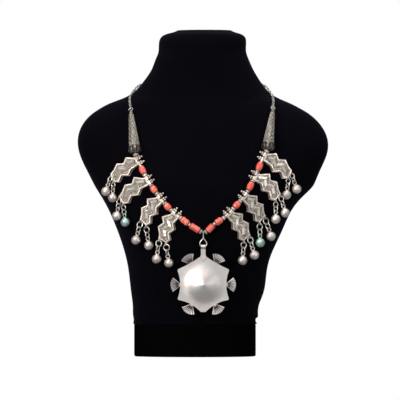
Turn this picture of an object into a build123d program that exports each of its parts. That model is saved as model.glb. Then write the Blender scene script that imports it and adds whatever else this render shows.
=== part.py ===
from build123d import *
import os
from math import ceil, cos, radians, sin, tan

os.makedirs("parts", exist_ok=True)

# Neck bust, in mm. Depths are from the upright plane through the spine, spine_y behind the origin.
bust_height = 359.0
shoulder_width = 276.0
chest_depth = 75.0
back_depth = 54.0
spine_y = 14.45
plinth_height = 35.0
plinth_inset = 1.0
plinth_chamfer = 1.2
piece_gap = 0.2

# Each row is one level section of the body, two half ellipses that share a width.
# Shares of: body height, half the shoulder width, chest depth, back depth, half the shoulder width.
body_sections = [
    # up, half_width, front, back, lean
    (0.000, 0.493, 0.75, 0.93, -0.064),
    (0.082, 0.512, 0.78, 0.93, -0.053),
    (0.184, 0.553, 0.85, 0.94, -0.042),
    (0.265, 0.606, 0.93, 0.95, -0.033),
    (0.347, 0.685, 0.99, 0.96, -0.024),
    (0.429, 0.794, 0.98, 0.98, -0.010),
    (0.510, 0.916, 0.93, 0.99, 0.005),
    (0.565, 0.976, 0.88, 1.00, 0.003),
    (0.619, 1.000, 0.83, 1.00, -0.001),
    (0.673, 0.960, 0.78, 0.98, -0.011),
    (0.714, 0.873, 0.74, 0.96, -0.019),
    (0.741, 0.772, 0.71, 0.94, -0.024),
    (0.762, 0.662, 0.69, 0.92, -0.021),
    (0.782, 0.566, 0.67, 0.90, -0.014),
    (0.810, 0.496, 0.66, 0.87, -0.010),
    (0.844, 0.438, 0.65, 0.85, -0.006),
    (0.878, 0.394, 0.65, 0.83, -0.005),
    (0.918, 0.356, 0.65, 0.81, -0.006),
    (0.952, 0.349, 0.65, 0.80, -0.004),
    (0.973, 0.341, 0.63, 0.78, 0.000),
    (0.988, 0.296, 0.55, 0.68, 0.006),
    (0.996, 0.232, 0.43, 0.54, 0.010),
    (1.000, 0.175, 0.33, 0.41, 0.012),
]

# Strand of beads. Every piece on it lies at strand_rise over the velvet.
coral_diameter = 7.2
coral_end_diameter = 5.4
coral_groove_diameter = 6.2
bore_diameter = 1.6
thread_diameter = 0.9
thread_bend_radius = 4.0
velvet_gap = 0.3
bead_gap = 0.36
strand_rise = coral_diameter / 2 + velvet_gap
centre_bare_length = 3.4
spacer_diameter = 4.4
spacer_end_diameter = 3.0
ring_bead_diameter = 4.9
fluted_diameter = 5.4

# Pieces of the strand in order from its middle, with their lengths on the left and on the right.
strand_order = [
    # kind, number, left, right
    ("spacer", 0, 2.7, 2.7),
    ("gap", 1, 0.3, 0.6),
    ("coral", 5, 11.4, 9.3),
    ("gap", 2, 0.2, 0.3),
    ("ring", 1, 1.3, 1.4),
    ("ring", 2, 1.3, 1.4),
    ("coral", 4, 9.5, 8.4),
    ("spacer", 1, 2.4, 4.6),
    ("tube", 4, 4.5, 4.5),
    ("gap", 3, 1.8, 1.8),
    ("tube", 4, 4.5, 4.5),
    ("spacer", 2, 3.0, 3.4),
    ("coral", 3, 7.9, 7.9),
    ("spacer", 3, 2.6, 3.0),
    ("tube", 3, 4.5, 4.5),
    ("gap", 4, 1.4, 1.8),
    ("tube", 3, 4.5, 4.5),
    ("spacer", 4, 3.9, 3.5),
    ("coral", 2, 7.9, 9.2),
    ("spacer", 5, 2.6, 2.5),
    ("tube", 2, 4.5, 4.5),
    ("gap", 5, 1.2, 1.4),
    ("tube", 2, 4.5, 4.5),
    ("spacer", 6, 4.0, 2.2),
    ("coral", 1, 8.6, 9.4),
    ("spacer", 7, 1.8, 1.8),
    ("tube", 1, 4.5, 4.5),
    ("gap", 6, 1.8, 1.2),
    ("tube", 1, 4.5, 4.5),
    ("fluted", 8, 3.9, 3.7),
]

# Hollow silver cones at the two ends of the strand.
cone_length = 48.0
cone_wall = 0.8
cone_tip_radius = 2.0
cone_waist_radius = 5.7
cone_bulb_radius = 7.1
cone_mouth_radius = 4.3
cone_bulb_length = 7.4
cone_tip_hole = 0.8
cone_slots = 10
cone_slot_width = 1.9
cone_collar_radius = 0.55
cone_mouth_rise = cone_bulb_radius + 0.8
cone_tip_rise = 4.4

# Wire loops on the cones' tips and the chain of oval links between them.
tip_wire = 0.8
tip_loop_radius = 2.3
tip_shank = 1.2
tip_head_radius = 0.95
tip_head_depth = 2.2
hook_turn = 300.0
link_wire = 0.7
link_length = 5.4
link_width = 2.9
link_play = 0.3
chain_rise = link_width / 2 + velvet_gap

# Chosen points of the necklace's way over the chest, seen from the front, from the middle outwards.
route_middle = (0.2, 136.6, strand_rise)
route_left = [
    # across, up, rise over the velvet
    (-9.4, 141.4, strand_rise),
    (-19.8, 149.1, strand_rise),
    (-31.9, 158.4, strand_rise),
    (-47.9, 175.5, strand_rise),
    (-58.3, 190.9, strand_rise),
    (-64.2, 201.0, strand_rise),
    (-69.3, 211.2, strand_rise + 0.3),
    (-75.0, 225.5, cone_mouth_rise),
    (-79.0, 269.6, cone_tip_rise),
]
route_right = [
    (8.3, 141.9, strand_rise),
    (17.6, 149.1, strand_rise),
    (27.5, 156.5, strand_rise),
    (35.7, 165.6, strand_rise),
    (44.6, 175.4, strand_rise),
    (51.2, 186.0, strand_rise + 0.2),
    (56.7, 198.0, strand_rise),
    (61.5, 207.8, strand_rise + 0.2),
    (65.5, 217.8, strand_rise + 0.7),
    (70.4, 226.6, cone_mouth_rise),
    (76.5, 270.7, cone_tip_rise),
]
# The way over the shoulders and round the back of the neck, from the left.
route_neck = [
    # bearing from the spine in degrees, up
    (197, 283.5),
    (188, 290.0),
    (177, 296.0),
    (162, 300.5),
    (145, 303.0),
    (120, 304.6),
    (90, 305.0),
    (60, 304.0),
    (36, 302.0),
    (19, 300.0),
    (4, 296.5),
    (-6, 291.5),
    (-15, 284.5),
]

# Zigzag stations: two thin plates, one over the other, on two tubes of the strand.
station_width = 14.3
front_plate = 0.8
back_plate = 0.6
plates_apart = 2.3
plate_front_rise = 1.7
station_rim = 1.3
relief_height = 0.5
ridge_sunk = 0.15
ridge_height = 0.9
ridge_width = 2.0
ridge_start = 4.0
plate_start = 0.4
corner_radius = 0.8
back_plate_shift = 0.9
tube_diameter = 4.2
tube_length = 4.1
end_block_length = 3.4
end_block_margin = 1.6
granule_radius = 1.05
granule_spread = 1.245
granule_first = 3.3
granule_step = 2.7
granule_post = 0.5
station_rise = 4.3
back_front_face = plate_front_rise - front_plate - plates_apart
block_depth = plate_front_rise - back_front_face + back_plate

# Edges of a station's zigzag outline. Shares of its length, and of station_width out from its axis.
zigzag_rows = [
    # along, outer_edge, inner_edge
    (0.00, 0.33, -0.30),
    (0.08, 0.34, -0.30),
    (0.31, 0.87, -0.16),
    (0.46, 0.54, -0.46),
    (0.67, 0.77, -0.22),
    (0.84, 0.43, -0.54),
    (1.00, 0.26, -0.38),
]

# Each station's droop below level and length as seen from the front, how far it is set inwards,
# the spread of its two lugs, the radius of its loose rings, and its two bells' sideways lean in degrees.
station_rows = [
    # hand, number, droop, front_length, inset, lug_spread, ring_radius, outer_lean, inner_lean
    ("left", 1, 27.5, 33.1, 3.0, 6.5, 2.4, 19.0, 3.0),
    ("left", 2, 33.3, 35.9, 0.8, 7.6, 3.0, 9.1, -7.0),
    ("left", 3, 51.1, 31.5, 0.8, 8.0, 3.4, 14.0, -8.0),
    ("left", 4, 61.3, 31.9, 0.3, 8.3, 3.4, 8.0, -8.6),
    ("right", 1, 28.2, 33.4, 2.7, 5.9, 2.7, 19.1, -7.0),
    ("right", 2, 41.7, 33.5, -0.2, 7.7, 3.0, 16.0, 0.0),
    ("right", 3, 47.3, 31.0, 1.5, 8.0, 3.5, 19.0, 1.5),
    ("right", 4, 51.0, 32.6, 1.0, 7.8, 3.3, 15.0, -4.5),
]

# Bells. Each hangs from a lug at the station's end on two loose rings.
bell_radius = 5.0
bell_seam = 0.2
bell_seam_width = 0.9
bell_cap_radius = 1.9
bell_cap_height = 0.7
loop_wire = 1.0
lug_radius = 1.5
bell_loop_radius = 2.1
ring_play = 0.3
lug_turn = 3.0
lug_reach = 2.1
lug_stem = 1.0

# Wire link in the middle of the strand, whose lower loop carries the pendant.
centre_wire = 1.0
centre_ring_radius = 2.2
centre_ring_play = 0.25
centre_loop_radius = 3.75
centre_loop_peak = 6.2
centre_neck = 2.9

# Pendant: a six-cornered plate with hollow sides, a low dome and six fluted fans.
pendant_plate = 1.0
star_radius = 33.0
star_hollow = 3.4
star_top_hollow = 1.0
star_corner_radius = 1.8
foot_radius = 29.8
dome_radius = 24.5
dome_height = 7.0
dome_wall = 0.9
fan_root = 23.6
fan_top_root = 25.0
fan_length = 12.0
fan_half_angle = 40.0
fan_ribs = 8
fan_rib_start = 3.0
fan_rib_rise = 0.15
fan_rib_share = 0.56
bail_width = 5.0
bail_bore_radius = 1.45
bail_wall = 0.75
bail_drop = 8.6
bail_spread = 6.6
bail_overlap = 8.0
pendant_hang = 41.6
bail_seat = 0.5

# The dome's profile. Shares of its radius and of its height.
dome_rows = [
    # out, up
    (0.00, 1.00),
    (0.28, 0.74),
    (0.62, 0.27),
    (1.00, 0.00),
]


def finish(piece, name):
    """Label a finished piece and write it to its own file."""
    piece.part.label = name
    export_step(piece.part, f"parts/{name}.step")


def body_section(level, half_width, front, back, lean):
    """One level section of the bust: two half ellipses that share a width."""
    centre = (lean, spine_y)
    with BuildSketch(Plane.XY.offset(level)) as section:
        with BuildLine():
            EllipticalCenterArc(centre, half_width, back, 0, arc_size=180)
            EllipticalCenterArc(centre, half_width, front, 180, arc_size=180)
        make_face()
    return section.sketch


# The velvet body, a smooth skin through the level sections.
body_foot = plinth_height + piece_gap
half_shoulder = shoulder_width / 2
with BuildPart() as neck_bust:
    for up, half_width, front, back, lean in body_sections:
        level = body_foot + up * (bust_height - body_foot)
        add(
            body_section(
                level,
                half_width * half_shoulder,
                front * chest_depth,
                back * back_depth,
                lean * half_shoulder,
            )
        )
    loft()
finish(neck_bust, "neck_bust")

# The straight block that the body stands on.
_, foot_half_width, foot_front, foot_back, foot_lean = body_sections[0]
plinth_outline = body_section(
    0,
    foot_half_width * half_shoulder - plinth_inset,
    foot_front * chest_depth - plinth_inset,
    foot_back * back_depth - plinth_inset,
    foot_lean * half_shoulder,
)
with BuildPart() as bust_plinth:
    extrude(plinth_outline, amount=plinth_height)
    chamfer(bust_plinth.edges().group_by(Axis.Z)[0], plinth_chamfer)
finish(bust_plinth, "bust_plinth")

velvet = neck_bust.part.solid()
far_away = 2 * (shoulder_width + bust_height)


def over_chest(across, up, rise):
    """The point in front of the chest at this place of the front view, rise over the velvet."""
    line = Axis((across, -far_away, up), (0, 1, 0))
    hit, normal = velvet.find_intersection_points(line)[0]
    return hit - Vector(0, rise / abs(normal.Y), 0)


def round_neck(bearing, up, rise):
    """The point beside or behind the neck at this bearing, rise over the velvet."""
    out = Vector(cos(radians(bearing)), sin(radians(bearing)), 0)
    start = Vector(0, spine_y, up) + out * far_away
    hit, normal = velvet.find_intersection_points(Axis(start, -out))[0]
    return hit + normal * rise


def outward(point):
    """The direction straight away from the velvet at this point."""
    return (point - velvet.closest_points(point)[0]).normalized()


def square_to(direction, axis):
    """The part of a direction that is square to an axis."""
    return (direction - axis * direction.dot(axis)).normalized()


def along(start, end):
    """A plane that lies lengthwise in a bead: its Y runs from start to end, its X off the velvet."""
    axis = (end - start).normalized()
    off_velvet = square_to(outward((start + end) * 0.5), axis)
    return Plane(origin=start, x_dir=off_velvet, z_dir=off_velvet.cross(axis))


def polar(radius, bearing):
    """A flat point, by its distance and bearing from the middle."""
    return (radius * cos(radians(bearing)), radius * sin(radians(bearing)))


def rod(start, end, radius, mode=Mode.ADD):
    """A straight round bar between two points."""
    with Locations(Plane(origin=start, z_dir=end - start)):
        return Cylinder(
            radius, (end - start).length, align=(Align.CENTER, Align.CENTER, Align.MIN), mode=mode
        )


def rings(radius, wire, *seats, mode=Mode.ADD):
    """Closed wire rings of one size, each with its centre and axis."""
    with Locations(*[Plane(origin=centre, z_dir=axis) for centre, axis in seats]):
        return Torus(radius, wire / 2, mode=mode)


with BuildLine() as way:
    Spline(
        [over_chest(*route_middle)]
        + [over_chest(*point) for point in route_left]
        + [round_neck(bearing, up, chain_rise) for bearing, up in route_neck]
        + [over_chest(*point) for point in reversed(route_right)],
        periodic=True,
    )
route = way.edge()
hands = {"left": 1, "right": -1}


def stride(place, reach, turn):
    """The next place on the route, a straight reach away from this one."""
    start = route.position_at(place)
    step = reach / route.length
    for _ in range(6):
        step *= reach / (route.position_at((place + turn * step) % 1.0) - start).length
    return (place + turn * step) % 1.0


# Lay the strand's pieces along the route, from its middle to both cones and their wire loops.
tip_reach = tip_shank + 2 * tip_loop_radius - (tip_wire / 2 + link_wire / 2 + link_play) / 2
laid = {}
places = {}
for column, (hand, turn) in enumerate(hands.items()):
    place = stride(0.0, centre_bare_length / 2, turn)
    pieces = []
    ends = [(kind, number, sizes[column]) for kind, number, *sizes in strand_order]
    for kind, number, reach in ends + [("cone", 0, cone_length), ("loop", 0, tip_reach)]:
        following = stride(place, reach, turn)
        pieces.append((kind, number, route.position_at(place), route.position_at(following)))
        place = following
    laid[hand] = pieces
    places[hand] = place


def bead(start, end, widest, at_ends, groove=0.0, discs=1):
    """A drilled bead between two points of the strand, turned as one or more swelling discs."""
    length = (end - start).length - bead_gap
    foot = bead_gap / 2
    step = length / discs
    waists = [at_ends / 2] + [groove / 2] * (discs - 1) + [at_ends / 2]
    with BuildSketch(along(start, end)) as section:
        with BuildLine():
            Line((bore_diameter / 2, foot), (at_ends / 2, foot))
            for disc in range(discs):
                low = foot + disc * step
                ThreePointArc(
                    (waists[disc], low), (widest / 2, low + step / 2), (waists[disc + 1], low + step)
                )
            Polyline(
                (at_ends / 2, foot + length), (bore_diameter / 2, foot + length), (bore_diameter / 2, foot)
            )
        make_face()
    revolve(section.sketch, axis=Axis(start, end - start), clean=False)


# Coral beads. The two beside the middle are ridged, as a stack of discs is.
coral_discs = {5: 5, 4: 2}
for hand, pieces in laid.items():
    for kind, number, start, end in pieces:
        if kind == "coral":
            discs = coral_discs.get(number, 1)
            with BuildPart() as coral:
                bead(start, end, coral_diameter, coral_end_diameter, coral_groove_diameter, discs)
            finish(coral, f"coral_{hand[0]}{number}")

# Small silver beads and rings between the corals and the stations.
spacer_sizes = {
    "spacer": (spacer_diameter, spacer_end_diameter),
    "ring": (ring_bead_diameter, ring_bead_diameter - 1.0),
    "fluted": (fluted_diameter, spacer_end_diameter),
}
for hand, pieces in laid.items():
    with BuildPart() as spacer_beads:
        for kind, number, start, end in pieces:
            if kind in spacer_sizes:
                bead(start, end, *spacer_sizes[kind])
    finish(spacer_beads, f"spacer_beads_{hand}")


def bend_radius(before, corner, after):
    """The radius that rounds a corner of the thread without using up either run."""
    arrive = corner - before
    leave = after - corner
    half_turn = radians(arrive.get_angle(leave)) / 2
    return min(thread_bend_radius, 0.45 * min(arrive.length, leave.length) / tan(half_turn))


# The thread runs straight through every bore and turns a little between the pieces.
thread_in_cone = 0.8
thread_points = []
for hand, pieces in laid.items():
    side = [start for kind, number, start, end in pieces if kind != "loop"]
    kind, number, mouth, tip = pieces[-2]
    side.append(mouth + (tip - mouth) * thread_in_cone)
    thread_points = [*reversed(side), *thread_points] if hand == "left" else [*thread_points, *side]
corners = [
    bend_radius(*thread_points[index - 1 : index + 2]) for index in range(1, len(thread_points) - 1)
]
with BuildPart() as bead_thread:
    with BuildLine() as thread_path:
        FilletPolyline(*thread_points, radius=corners)
    with BuildSketch(Plane(origin=thread_path.line @ 0, z_dir=thread_path.line % 0)):
        Circle(thread_diameter / 2)
    sweep()
finish(bead_thread, "bead_thread")


def cone_planes(mouth, profile):
    """Upright planes round the cone's bulb, one for each slot, facing outwards."""
    axis = profile.y_dir
    centre = mouth + axis * (cone_bulb_length / 2)
    spoke = profile.x_dir
    planes = []
    for slot in range(cone_slots):
        out = spoke.rotate(Axis((0, 0, 0), axis), 360 * slot / cone_slots)
        planes.append(Plane(origin=centre + out * (cone_bulb_radius + 1), x_dir=axis, z_dir=out))
    return planes


# Cones: a thin wall all the way, a pierced bulb that rounds in to the mouth, a small hole in the tip.
for hand, pieces in laid.items():
    kind, number, mouth, tip = pieces[-2]
    profile = along(mouth, tip)
    inner_bulb = cone_bulb_radius - cone_wall
    with BuildPart() as cone:
        with BuildSketch(profile):
            with BuildLine():
                ThreePointArc(
                    (cone_mouth_radius, 0),
                    (cone_bulb_radius, cone_bulb_length / 2),
                    (cone_waist_radius, cone_bulb_length),
                )
                Polyline(
                    (cone_waist_radius, cone_bulb_length),
                    (cone_tip_radius, cone_length),
                    (cone_tip_hole, cone_length),
                    (cone_tip_hole, cone_length - cone_wall),
                    (cone_tip_radius - cone_wall, cone_length - cone_wall),
                    (cone_waist_radius - cone_wall, cone_bulb_length),
                )
                ThreePointArc(
                    (cone_waist_radius - cone_wall, cone_bulb_length),
                    (inner_bulb, cone_bulb_length / 2),
                    (cone_mouth_radius - cone_wall, 0),
                )
                Line((cone_mouth_radius - cone_wall, 0), (cone_mouth_radius, 0))
            make_face()
        revolve(axis=Axis(mouth, tip - mouth))
        with BuildSketch(*cone_planes(mouth, profile)):
            SlotOverall(cone_bulb_length - 2 * cone_wall, cone_slot_width)
        extrude(amount=-(cone_bulb_radius + 1 - bore_diameter), mode=Mode.SUBTRACT)
        collar = mouth + profile.y_dir * cone_bulb_length
        rings(cone_waist_radius, 2 * cone_collar_radius, (collar, tip - mouth))
    finish(cone, f"cone_{hand}")

# Wire loops on the tips: an open hook on the left that the chain hangs in, a closed ring on the right.
# A loop's shank goes in through the tip's hole, and a small ball on its end keeps it there.
for hand, pieces in laid.items():
    kind, number, tip, far = pieces[-1]
    upward = (tip - pieces[-2][2]).normalized()
    shank_end = tip + upward * tip_shank
    direction = (far - shank_end).normalized()
    middle = shank_end + direction * tip_loop_radius
    face = square_to(outward(middle), direction)
    with BuildPart() as tip_wire_loop:
        turn = hook_turn if hand == "left" else 360
        with Locations(Plane(origin=middle, x_dir=-direction, z_dir=face)):
            Torus(tip_loop_radius, tip_wire / 2, major_angle=turn)
        rod(tip - upward * tip_head_depth, shank_end, tip_wire / 2)
        with Locations(tip - upward * tip_head_depth):
            Sphere(tip_head_radius)
    finish(tip_wire_loop, "chain_hook" if hand == "left" else "cone_ring")

# Neck chain: oval links, each turned a quarter from the last, from one wire loop to the other.
chain_run = (places["right"] - places["left"]) % 1.0
link_count = ceil(chain_run * route.length / (link_length - 2 * link_wire - link_play))
chain_joints = [
    route.position_at((places["left"] + chain_run * index / link_count) % 1.0)
    for index in range(link_count + 1)
]
link_planes = []
for index, (start, end) in enumerate(zip(chain_joints, chain_joints[1:])):
    lengthwise = along(start, end)
    roll = 45 if index % 2 else -45
    face = lengthwise.x_dir.rotate(Axis((0, 0, 0), end - start), roll)
    link_planes.append(Plane(origin=(start + end) * 0.5, x_dir=end - start, z_dir=face))
with BuildPart() as link:
    straight = (link_length - link_width) / 2
    bow = (link_width - link_wire) / 2
    with BuildLine() as oval:
        Line((0, bow), (straight, bow))
        CenterArc((straight, 0), bow, 90, arc_size=-180)
        Line((straight, -bow), (-straight, -bow))
        CenterArc((-straight, 0), bow, -90, arc_size=-180)
        Line((-straight, bow), (0, bow))
    with BuildSketch(Plane(origin=(0, bow, 0), z_dir=(1, 0, 0))):
        Circle(link_wire / 2)
    sweep()
with BuildPart() as neck_chain:
    with Locations(*link_planes):
        add(link.part, clean=False)
finish(neck_chain, "neck_chain")


def off_tubes(share):
    """How far a row of the outline has left the tubes: 0 up to the second row, 1 from the first step on."""
    near = zigzag_rows[1][0]
    far = zigzag_rows[2][0]
    return min(1.0, max(0.0, (share - near) / (far - near)))


def zigzag(length, side, inset):
    """Corner points of a station's outline, which is set inwards from its first step on."""
    upper = []
    lower = []
    for share, outer, inner in zigzag_rows:
        x = max(share * length, plate_start)
        shift = inset * off_tubes(share)
        upper.append((x, side * (outer * station_width - shift)))
        lower.append((x, side * (inner * station_width - shift)))
    return upper + lower[::-1]


def station_frame(middle, hand, droop, length, inset):
    """A station's plane, X along its plates and Z off the velvet, and its true length.

    Its outer end is lifted until the back plate clears the velvet.
    """
    heading = radians(-droop if hand == "right" else droop - 180)
    side = 1 if hand == "right" else -1
    rise = station_rise
    for _ in range(4):
        tip = over_chest(middle.X + length * cos(heading), middle.Z + length * sin(heading), rise)
        reach = tip - middle
        face = square_to(outward((middle + tip) * 0.5), reach.normalized())
        plane = Plane(origin=middle, x_dir=reach, z_dir=face)
        lifts = [0.0]
        for x, y in zigzag(reach.length, side, inset)[2:-2]:
            above = plane.from_local_coords(Vector(x, y - side * back_plate_shift, far_away))
            hit, _ = velvet.find_intersection_points(Axis(above, -face))[0]
            sunk = plane.to_local_coords(hit).Z + velvet_gap - (back_front_face - back_plate)
            lifts.append(sunk * reach.length / x)
        if max(lifts) == 0:
            break
        rise += max(lifts)
    return plane, reach.length


def plate(corners, plane, level, thickness):
    """A flat plate on a station's plane, its front face at this level."""
    with BuildSketch(plane.offset(level - thickness)) as outline:
        with BuildLine():
            Polyline(*corners, close=True)
        make_face()
        fillet(outline.vertices(), corner_radius)
    return extrude(outline.sketch, amount=thickness, mode=Mode.PRIVATE)


def rim(corners, plane, level):
    """The raised border that runs round a station's front plate."""
    with BuildSketch(plane.offset(level)) as border:
        with BuildLine():
            Polyline(*corners, close=True)
        make_face()
        fillet(border.vertices(), corner_radius)
        offset(amount=-station_rim, mode=Mode.SUBTRACT, kind=Kind.INTERSECTION)
    return extrude(border.sketch, amount=relief_height, mode=Mode.PRIVATE)


def ridge(middles, plane, level):
    """The raised ridge that follows the middle of the zigzag."""
    sides = [(max(x, ridge_start), y + ridge_width / 2) for x, y in middles]
    sides += [(max(x, ridge_start), y - ridge_width / 2) for x, y in reversed(middles)]
    with BuildSketch(plane.offset(level - ridge_sunk)) as crest:
        with BuildLine():
            Polyline(*sides, close=True)
        make_face()
    return extrude(crest.sketch, amount=ridge_sunk + ridge_height, dir=plane.z_dir, mode=Mode.PRIVATE)


def heading_point(start, heading, reach, rise):
    """The point a straight reach from start, at a heading of the front view, rise over the velvet.

    It stays straight below its start where the velvet falls away from it.
    """
    step = reach
    for _ in range(4):
        across = start.X + step * cos(radians(heading))
        up = start.Z + step * sin(radians(heading))
        end = over_chest(across, up, rise)
        if end.Y > start.Y:
            end = Vector(across, start.Y, up)
        step *= reach / (end - start).length
    return end


def dangle(edge, reach_along, ring_radius, lean, hand):
    """One bell's way down: the centres of its lug, rings, loop and ball, and their directions.

    The lug stands off the plate's edge halfway between the plate's own heading and the bell's.
    """
    heading = -90 - lean if hand == "left" else -90 + lean
    fall = Vector(cos(radians(heading)), 0, sin(radians(heading)))
    off_edge = (fall * lug_turn + reach_along).normalized()
    lug = edge + off_edge * lug_reach
    drops = [
        lug_radius + ring_radius - loop_wire - ring_play,
        2 * ring_radius - loop_wire - ring_play,
        ring_radius + bell_loop_radius - loop_wire - ring_play,
        bell_loop_radius + cap_top,
    ]
    below = heading_point(lug, heading, sum(drops), bell_radius + bell_seam + velvet_gap)
    down = (below - lug).normalized()
    face = square_to(outward((lug + below) * 0.5), down)
    centres = [lug]
    for drop in drops:
        centres.append(centres[-1] + down * drop)
    return centres, down, face, off_edge


# One bell: a ball of two soldered halves with a seam, a small cap, and its soldered loop.
seam_radius = bell_radius + bell_seam
seam_half = bell_seam_width / 2
cap_foot = (bell_radius**2 - bell_cap_radius**2) ** 0.5
cap_top = bell_radius + bell_cap_height / 2
seam_edge = (bell_radius**2 - seam_half**2) ** 0.5
with BuildPart() as ball:
    with BuildSketch(Plane.XZ):
        with BuildLine():
            RadiusArc((0, -bell_radius), (seam_edge, -seam_half), -bell_radius)
            Polyline(
                (seam_edge, -seam_half),
                (seam_radius, -seam_half),
                (seam_radius, seam_half),
                (seam_edge, seam_half),
            )
            RadiusArc((seam_edge, seam_half), (bell_cap_radius, cap_foot), -bell_radius)
            Polyline(
                (bell_cap_radius, cap_foot),
                (bell_cap_radius, cap_top),
                (0, cap_top),
                (0, -bell_radius),
            )
        make_face()
    revolve(axis=Axis.Z)
    rings(bell_loop_radius, loop_wire, (Vector(0, 0, cap_top + bell_loop_radius), Vector(1, 0, 0)))

# One thread tube of a station, along Z, with its granules on X: three on a post and one on their tip.
with BuildPart() as tube:
    granule_tip = granule_first + granule_step
    spots = [(granule_tip, 0, 0)]
    for turn in (0, 120, 240):
        spots.append((granule_first, *polar(granule_spread, turn)))
    with Locations(*spots):
        balls = Sphere(granule_radius, mode=Mode.PRIVATE)
    barrel = Cylinder(tube_diameter / 2, tube_length, mode=Mode.PRIVATE)
    post = rod(Vector(bore_diameter, 0, 0), Vector(granule_tip, 0, 0), granule_post, Mode.PRIVATE)
    add([barrel, balls, post], clean=False)
    Cylinder(bore_diameter / 2, 2 * tube_length, mode=Mode.SUBTRACT)

# One lug in the XY plane: a small wire ring with a stem along X.
with BuildPart() as lug:
    Torus(lug_radius, loop_wire / 2)
    rod(Vector(lug_radius, 0, 0), Vector(lug_reach + lug_stem, 0, 0), loop_wire / 2)

# Stations, each with its lugs, loose rings and two bells.
for hand, number, droop, front_length, inset, lug_spread, ring_radius, *leans in station_rows:
    side = -1 if hand == "left" else 1
    tubes = [(start, end) for kind, count, start, end in laid[hand] if (kind, count) == ("tube", number)]
    plane, length = station_frame((tubes[0][0] + tubes[1][1]) * 0.5, hand, droop, front_length, inset)
    corners = zigzag(length, side, inset)
    edges = zip(corners[: len(zigzag_rows)], corners[::-1])
    middles = [(x, (outer + inner) / 2) for (x, outer), (_, inner) in edges]
    lower = [(x, y - side * back_plate_shift * off_tubes(x / length)) for x, y in corners]
    end_middle = middles[-1][1]
    hangs = []
    for out, lean in zip((side, -side), leans):
        edge = plane.from_local_coords(Vector(length, end_middle + out * lug_spread / 2, 0))
        hangs.append(dangle(edge, plane.x_dir, ring_radius, lean, hand))
    places = []
    for start, end in tubes:
        axis = (end - start).normalized()
        places.append(Plane(origin=(start + end) * 0.5, x_dir=square_to(-plane.x_dir, axis), z_dir=axis))
    with BuildPart() as station:
        with Locations(plane.offset(plate_front_rise) * Location((length, end_middle, 0))):
            block = Box(
                end_block_length,
                lug_spread + end_block_margin,
                block_depth,
                align=(Align.MAX, Align.CENTER, Align.MAX),
                mode=Mode.PRIVATE,
            )
        pieces = [
            plate(corners, plane, plate_front_rise, front_plate),
            plate(lower, plane, back_front_face, back_plate),
            rim(corners, plane, plate_front_rise),
            ridge(middles[1:-1], plane, plate_front_rise),
            block,
        ]
        add(pieces, clean=False)
        pieces = [place * tube.part for place in places]
        for centres, down, face, off_edge in hangs:
            seat = Plane(origin=centres[0], x_dir=-off_edge, z_dir=off_edge.cross(face))
            pieces.append(seat * lug.part)
        add(pieces, clean=False)
    place_name = f"{hand[0]}{number}"
    finish(station, f"station_{place_name}")
    with BuildPart() as bell_rings:
        seats = [(centres[1], face) for centres, down, face, off_edge in hangs]
        seats += [(centres[2], down.cross(face)) for centres, down, face, off_edge in hangs]
        rings(ring_radius, loop_wire, *seats)
    finish(bell_rings, f"bell_rings_{place_name}")
    for where, (centres, down, face, off_edge) in zip(("outer", "inner"), hangs):
        with BuildPart() as bell:
            with Locations(Plane(origin=centres[4], x_dir=face, z_dir=-down)):
                add(ball.part)
        finish(bell, f"bell_{place_name}_{where}")

# Wire link: a ring round the bare thread in the middle, a short neck, and a lower loop seen full face.
strand_middle = (laid["left"][0][2] + laid["right"][0][2]) * 0.5
drop = Vector(0, 0, -1)
wire = centre_wire / 2
ring_middle = strand_middle + drop * (centre_ring_radius - wire - thread_diameter / 2 - centre_ring_play)
ring_foot = ring_middle + drop * centre_ring_radius
peak = ring_foot + drop * centre_neck
loop_middle = peak + drop * centre_loop_peak
shoulder_up = centre_loop_radius**2 / centre_loop_peak
shoulder_out = (centre_loop_radius**2 - shoulder_up**2) ** 0.5
with BuildPart() as centre_link:
    rings(centre_ring_radius, centre_wire, (ring_middle, Vector(1, 0, 0)))
    rings(centre_loop_radius, centre_wire, (loop_middle, Vector(0, 1, 0)))
    rod(ring_foot, peak, wire)
    with Locations(ring_foot, peak):
        Sphere(wire)
    for out in (-1, 1):
        shoulder = loop_middle + Vector(out * shoulder_out, 0, shoulder_up)
        rod(peak, shoulder, wire)
finish(centre_link, "centre_link")

# Pendant, soldered up as one piece. It hangs by its bail on the link's lower loop.
pivot = loop_middle + drop * (centre_loop_radius - bail_seat)
bail_radius = bail_bore_radius + bail_wall
plate_front = Vector(pivot.X, pivot.Y + bail_radius - pendant_plate, pivot.Z - pendant_hang)
facing = Plane(origin=plate_front, x_dir=(1, 0, 0), z_dir=(0, -1, 0))


# One fan, spread to both sides of its X axis from its root: a thin leaf with tapering ribs on it.
rib_step = 2 * fan_half_angle / fan_ribs
rib_swell = fan_rib_share * radians(rib_step)
with BuildPart() as fan:
    with BuildSketch(Plane.XY.offset(-pendant_plate)) as leaf:
        with BuildLine():
            Line((0, 0), polar(fan_length, -fan_half_angle))
            ThreePointArc(
                polar(fan_length, -fan_half_angle), (fan_length, 0), polar(fan_length, fan_half_angle)
            )
            Line(polar(fan_length, fan_half_angle), (0, 0))
        make_face()
    extrude(leaf.sketch, amount=pendant_plate)
    bearings = [(rib + 0.5) * rib_step - fan_half_angle for rib in range(fan_ribs)]
    ribs = [
        Plane(origin=(*polar(fan_rib_start, bearing), fan_rib_rise), z_dir=(*polar(1, bearing), 0))
        for bearing in bearings
    ]
    with Locations(*ribs):
        cones = Cone(
            fan_rib_start * rib_swell,
            fan_length * rib_swell,
            fan_length - fan_rib_start,
            align=(Align.CENTER, Align.CENTER, Align.MIN),
            mode=Mode.PRIVATE,
        )
    add(cones, clean=False)

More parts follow.
